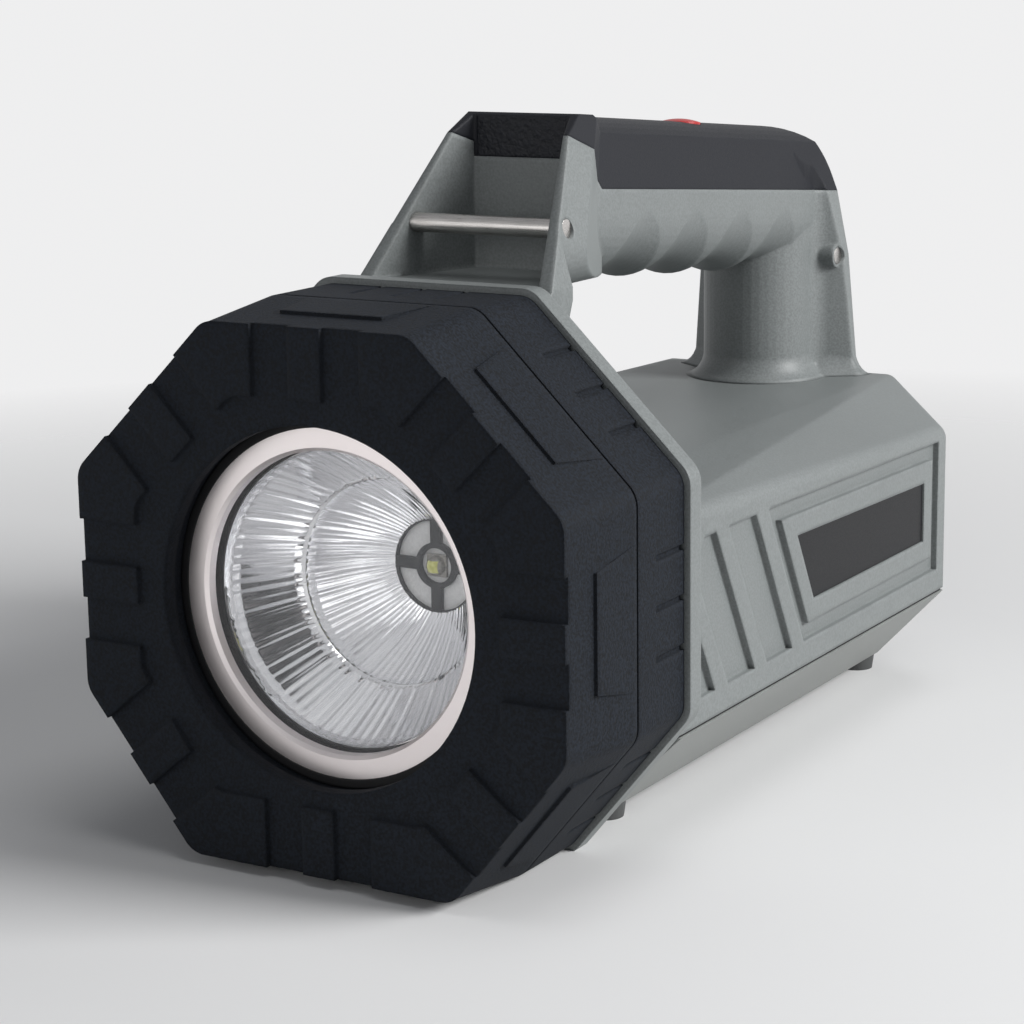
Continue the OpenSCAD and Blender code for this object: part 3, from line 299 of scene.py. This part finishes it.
def grip_rubber(name, dark, light):
    """Moulded rubber whose front tongue, the one face towards the beam, has a coarse grain."""
    s = Shader(name, Specular_IOR_Level=0.24)
    fine = s.noise(0.36 * MM, 2.0)
    cloud = s.noise(GRIP_CLOUD_SIZE, 4.0)
    split = s.node("ShaderNodeSeparateXYZ")
    s.link(s.node("ShaderNodeNewGeometry").outputs["True Normal"], split.inputs["Vector"])
    tongue = s.times(
        s.span(split.outputs["Y"], 1.0, 0.0, -0.99, -0.9),
        s.within("X", 0.0, TONGUE_HALF, 0.4 * MM),
    )
    coarse = s.noise(1.1 * MM, 1.0)
    grain = s.mix(tongue, fine, coarse)
    specks = s.ramp(grain, (0.82,) * 3, (1.16,) * 3, 0.35, 0.65)
    colour = s.mix(1.0, s.ramp(cloud, dark, light), specks, "MULTIPLY")
    rounded, edges = s.soft_edges(1.0 * MM)
    # Edges mixed toward a paler tone: partly scuff wear, partly a painted edge highlight
    scuffs_and_highlight = s.times(edges, s.span(s.noise(SCUFF_AND_HIGHLIGHT_SIZE, 5.0), 0.0, 0.25, SCUFF_AND_HIGHLIGHT_START, SCUFF_AND_HIGHLIGHT_END))
    colour = s.mix(scuffs_and_highlight, colour, EDGE_WEAR_AND_HIGHLIGHT)
    bumped = s.bump(fine, 0.045 * MM, rounded)
    return s.finish(colour, s.span(fine, 0.46, 0.60), s.bump(s.times(coarse, tongue), 0.30 * MM, bumped))


def circuit_board(name, dark, light):
    """Lacquered board with faint tracks under the lacquer."""
    s = Shader(name, Coat_Weight=0.4, Coat_Roughness=0.15)
    tracks = s.cells(4 * MM)
    colour = s.ramp(tracks, dark, light, 0.42, 0.5)
    return s.finish(colour, s.span(tracks, 0.35, 0.5), s.bump(tracks, 0.02 * MM))


GRAY = moulded(
    "gray_plastic", (0.172, 0.186, 0.185), (0.190, 0.205, 0.204), 0.55 * MM, 0.034 * MM, 0.48,
    edge=1.5 * MM, wear_and_highlight=0.30, speck=(0.86, 1.12),
)
GRAY_LIGHT = moulded(
    "light_gray_plastic", (0.225, 0.235, 0.228), (0.245, 0.256, 0.248), 0.55 * MM, 0.034 * MM, 0.50,
    edge=1.0 * MM, speck=(0.86, 1.12),
)
RUBBER = moulded(
    "black_rubber", (0.0066, 0.0086, 0.0124), (0.0094, 0.0118, 0.0164),
    0.62 * MM, 0.16 * MM, 0.78, edge=2.2 * MM, wear_and_highlight=0.35, speck=(0.42, 1.75), Specular_IOR_Level=0.20,
)
GRIP = grip_rubber("grip_rubber", (0.0072, 0.0082, 0.0120), (0.0094, 0.0106, 0.0148))
BLACK = moulded(
    "black_plastic", (0.006, 0.006, 0.007), (0.011, 0.011, 0.012), 0.5 * MM, 0.03 * MM, 0.55,
    Specular_IOR_Level=0.3,
)
SEAL = moulded("seal_rubber", (0.008, 0.008, 0.009), (0.014, 0.014, 0.015), 0.4 * MM, 0.03 * MM, 0.7)
FOOT = moulded("foot_rubber", (0.045, 0.048, 0.048), (0.075, 0.078, 0.078), 0.4 * MM, 0.04 * MM, 0.7)
PLATE = moulded(
    "plate_plastic", (0.0078, 0.0080, 0.0092), (0.0105, 0.0108, 0.0122),
    0.25 * MM, 0.008 * MM, 0.42, edge=0.25 * MM, wear_and_highlight=0.15, speck=(0.85, 1.15), Specular_IOR_Level=0.18,
)
BUTTON = moulded("button_plastic", (0.40, 0.016, 0.016), (0.48, 0.024, 0.022), 0.45 * MM, 0.02 * MM, 0.38)
BOARD_WHITE = moulded("white_board", (0.84, 0.84, 0.83), (0.90, 0.90, 0.89), 0.6 * MM, 0.01 * MM, 0.4)
JACKET = moulded("cell_jacket", (0.03, 0.05, 0.13), (0.05, 0.08, 0.18), 1.5 * MM, 0.01 * MM, 0.3)
LEAD = moulded("lead_sleeve", (0.32, 0.02, 0.02), (0.44, 0.03, 0.03), 0.6 * MM, 0.01 * MM, 0.4)
ALONG_X = (1 / (9 * MM), 1 / (0.12 * MM), 1 / (0.12 * MM))
ALL_WAYS = (1 / (0.5 * MM), 1 / (0.5 * MM), 1 / (0.5 * MM))
STEEL = metal("brushed_steel", (0.42, 0.40, 0.38), (0.66, 0.64, 0.62), 0.30, ALONG_X)
SCREW = metal("screw_steel", (0.45, 0.45, 0.46), (0.62, 0.62, 0.63), 0.32, ALL_WAYS)
CHROME = plated("ring_chrome", (0.920, 0.850, 0.840), (0.950, 0.885, 0.875), 0.34)
ALUMINIUM = metal("cast_aluminium", (0.60, 0.61, 0.62), (0.76, 0.77, 0.78), 0.40, ALL_WAYS)
BRASS = metal("contact_brass", (0.60, 0.46, 0.20), (0.76, 0.62, 0.32), 0.28, ALONG_X)

FINISHES = {
    "front_bezel": RUBBER,
    "head_barrel": BLACK,
    "lens_ring": CHROME,
    "lens": clear_lens("clear_lens"),
    "lens_seal": SEAL,
    "led_holder": BLACK,
    "led_board": BOARD_WHITE,
    "led_emitter": emitter_dome("emitter_dome"),
    "heat_sink": ALUMINIUM,
    "sink_screws": SCREW,
    "barrel_screws": SCREW,
    "body_shell": GRAY,
    "bottom_cover": GRAY_LIGHT,
    "bottom_seal": SEAL,
    "feet": FOOT,
    "cover_screws": SCREW,
    "handle": GRAY,
    "handle_screws": SCREW,
    "grip_cover": GRIP,
    "front_strap_bar": STEEL,
    "rear_strap_bar": STEEL,
    "switch_button": BUTTON,
    "switch_body": BLACK,
    "name_plates": PLATE,
    "battery_tray": BLACK,
    "battery_cells": JACKET,
    "contact_plates": BRASS,
    "driver_board": circuit_board("green_board", (0.02, 0.10, 0.045), (0.04, 0.17, 0.08)),
    "board_screws": SCREW,
    "leads": LEAD,
}

for name, material in FINISHES.items():
    slots = nodes[name].data.materials
    slots.clear()
    slots.append(material)


# Fluted reflector
def bowl_radius(depth):
    """Inner radius at a depth behind the flange: one parabola for each zone."""
    if depth < ZONE_DEPTH:
        share = depth / ZONE_DEPTH
        return math.sqrt(BOWL_RADIUS**2 + (ZONE_RADIUS**2 - BOWL_RADIUS**2) * share)
    share = (depth - ZONE_DEPTH) / (BOWL_DEPTH - ZONE_DEPTH)
    return math.sqrt(ZONE_RADIUS**2 + (THROAT_RADIUS**2 - ZONE_RADIUS**2) * share)


def bowl_profile():
    """Closed section as (radius, depth, share of the flutes' depth)."""
    depths = [BOWL_DEPTH * i / BOWL_ROWS for i in range(BOWL_ROWS + 1)]
    inner = [(BOWL_RADIUS - COLLAR_WALL, -COLLAR_DEPTH, 0.0), (BOWL_RADIUS - COLLAR_WALL, 0.0, 0.0)]
    before = [d for d in depths[1:] if d < ZONE_DEPTH - ZONE_STEP]
    behind = [d for d in depths[1:] if d > ZONE_DEPTH + ZONE_STEP]
    inner += [(bowl_radius(d), d, 1.0) for d in before]
    inner += [
        (ZONE_RADIUS + ZONE_STEP, ZONE_DEPTH - ZONE_STEP, 0.0),
        (ZONE_RADIUS - ZONE_STEP, ZONE_DEPTH, 0.0),
    ]
    inner += [(bowl_radius(d), d, 1.0) for d in behind]
    outer = [(bowl_radius(d) + BOWL_WALL, d, 0.0) for d in reversed(depths) if d > BOWL_WALL]
    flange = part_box("reflector")[1][0]
    rim = [
        (flange, BOWL_WALL, 0.0),
        (flange, 0.0, 0.0),
        (BOWL_RADIUS, 0.0, 0.0),
        (BOWL_RADIUS, -COLLAR_DEPTH, 0.0),
    ]
    return inner + outer + rim


def make_reflector():
    low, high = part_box("reflector")
    middle = (low[2] + high[2]) / 2
    front = low[1]
    profile = bowl_profile()
    turns = FLUTES * FLUTE_POINTS
    points = []
    for i in range(turns):
        angle = 2 * math.pi * i / turns
        flute = i // FLUTE_POINTS
        swing = 1 - FLUTE_SWING + FLUTE_SWING * math.sin(flute * FLUTE_BEAT)
        wave = swing * abs(math.sin(math.pi * i / FLUTE_POINTS))
        for radius, depth, share in profile:
            r = radius + share * FLUTE_DEPTH * wave
            points.append((r * math.cos(angle), front + depth, middle + r * math.sin(angle)))
    count = len(profile)
    faces = []
    for i in range(turns):
        here, there = i * count, (i + 1) % turns * count
        for j in range(count):
            k = (j + 1) % count
            faces.append((here + j, here + k, there + k, there + j))
    mesh = bpy.data.meshes.new("fluted_reflector")
    mesh.from_pydata(points, [], faces)
    mesh.materials.append(mirror_coat("mirror_coat"))
    for face in mesh.polygons:
        face.use_smooth = True
    mesh.set_sharp_from_angle(angle=math.radians(SHARP_ANGLE))
    piece = add_object("fluted_reflector", mesh)
    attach(piece, "lamp")
    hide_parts("reflector")


make_reflector()


# Studio: pale floor, soft lights and the camera
def make_floor():
    """Pale floor that fades into the pale surroundings away from the object."""
    half = FLOOR_SIZE / 2
    mesh = bpy.data.meshes.new("floor")
    corners = [(-half, -half, 0), (half, -half, 0), (half, half, 0), (-half, half, 0)]
    mesh.from_pydata(corners, [], [(0, 1, 2, 3)])
    s = Shader("floor_paper", Specular_IOR_Level=0.1)
    cloud = s.noise(0.4, 2.0)
    tone = tuple(c * 0.97 for c in FLOOR_COLOUR)
    away = s.node("ShaderNodeVectorMath", operation="LENGTH")
    s.link(s.place, away.inputs[0])
    s.link(s.span(away.outputs["Value"], 1.0, 0.0, *FLOOR_FADE), s.bsdf.inputs["Alpha"])
    mesh.materials.append(s.finish(s.ramp(cloud, tone, FLOOR_COLOUR), s.span(cloud, 0.8, 0.9)))
    add_object("floor", mesh)


def make_world():
    """Dim light for the surfaces, and a pale gradient for the camera, gloss and glass."""
    world = bpy.data.worlds.new("studio")
    world.use_nodes = True
    tree = world.node_tree
    background = tree.nodes["Background"]
    place = tree.nodes.new("ShaderNodeTexCoord")
    split = tree.nodes.new("ShaderNodeSeparateXYZ")
    ramp = tree.nodes.new("ShaderNodeValToRGB")
    ramp.color_ramp.elements[0].color = (*WORLD_LEVEL, 1)
    ramp.color_ramp.elements[1].color = (*WORLD_ABOVE, 1)
    tree.links.new(place.outputs["Generated"], split.inputs["Vector"])
    tree.links.new(split.outputs["Z"], ramp.inputs["Fac"])
    rays = tree.nodes.new("ShaderNodeLightPath")
    shown = tree.nodes.new("ShaderNodeMix")
    shown.data_type = "RGBA"
    shown.inputs[6].default_value = (*WORLD_DIFFUSE, 1)
    seen = rays.outputs["Is Camera Ray"]
    for kind in ("Is Glossy Ray", "Is Transmission Ray"):
        either = tree.nodes.new("ShaderNodeMath")
        either.operation = "MAXIMUM"
        tree.links.new(seen, either.inputs[0])
        tree.links.new(rays.outputs[kind], either.inputs[1])
        seen = either.outputs["Value"]
    tree.links.new(seen, shown.inputs["Factor"])
    tree.links.new(ramp.outputs["Color"], shown.inputs[7])
    tree.links.new(shown.outputs[2], background.inputs["Color"])
    bpy.context.scene.world = world


def make_light(name, place, size, watts):
    light = bpy.data.lights.new(name, "AREA")
    light.shape = "RECTANGLE"
    light.size, light.size_y = size
    light.energy = watts
    obj = bpy.data.objects.new(name, light)
    bpy.context.scene.collection.objects.link(obj)
    aim(obj, Vector(place), CAMERA_AIM)


def make_camera():
    azimuth, elevation = math.radians(CAMERA_AZIMUTH), math.radians(CAMERA_ELEVATION)
    back = Vector((
        math.sin(azimuth) * math.cos(elevation),
        -math.cos(azimuth) * math.cos(elevation),
        math.sin(elevation),
    ))
    camera = bpy.data.cameras.new("camera")
    camera.sensor_width = CAMERA_SENSOR
    camera.lens = CAMERA_LENS
    obj = bpy.data.objects.new("camera", camera)
    bpy.context.scene.collection.objects.link(obj)
    aim(obj, CAMERA_AIM + back * CAMERA_DISTANCE, CAMERA_AIM, CAMERA_ROLL)
    bpy.context.scene.camera = obj


make_floor()
make_world()
for name, (place, size, watts) in LIGHTS.items():
    make_light(name, place, size, watts)
make_camera()
bpy.context.scene.view_settings.view_transform = "Standard"
